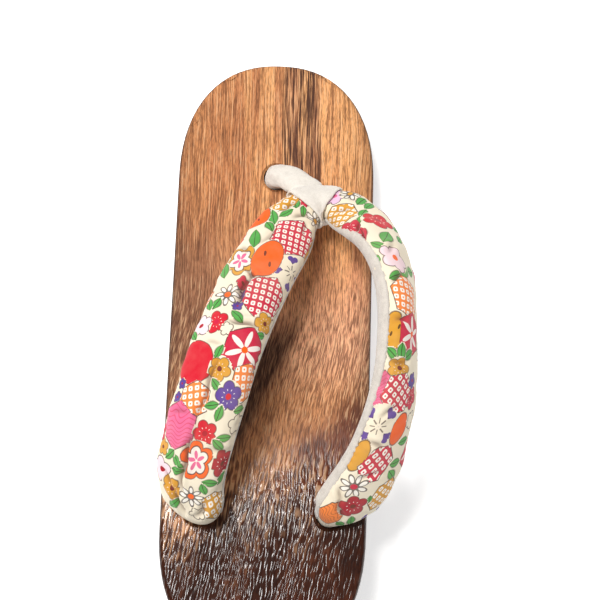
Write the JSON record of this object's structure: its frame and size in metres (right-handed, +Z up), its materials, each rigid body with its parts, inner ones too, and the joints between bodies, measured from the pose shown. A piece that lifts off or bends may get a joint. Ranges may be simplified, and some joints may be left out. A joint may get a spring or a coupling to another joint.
{
  "type": "zori sandal",
  "caption": "Flat Japanese sandal: a rounded wooden sole, low at the toe and raised at the heel, with a padded printed thong held by a toe loop.",
  "frame": {"origin": "on the ground under the ball of the foot, in the middle of the forefoot's flat ground face", "axes": "+Y towards the toe, +X to the wearer's right seen from above, +Z up"},
  "size_m": [0.0959, 0.24, 0.08],
  "materials": {
    "sole": "scorched, brushed along the grain and lacquered",
    "strap": "cotton with a printed pattern of flowers, backed with off-white velveteen",
    "toe_loop": "off-white velveteen",
    "cord": "twisted hemp cord"
  },
  "bodies": {
    "root": {"sole": "sole", "strap": "strap", "toe_loop": "toe_loop", "toe_knot": "cord", "left_knot": "cord", "right_knot": "cord"}
  },
  "joints": []
}
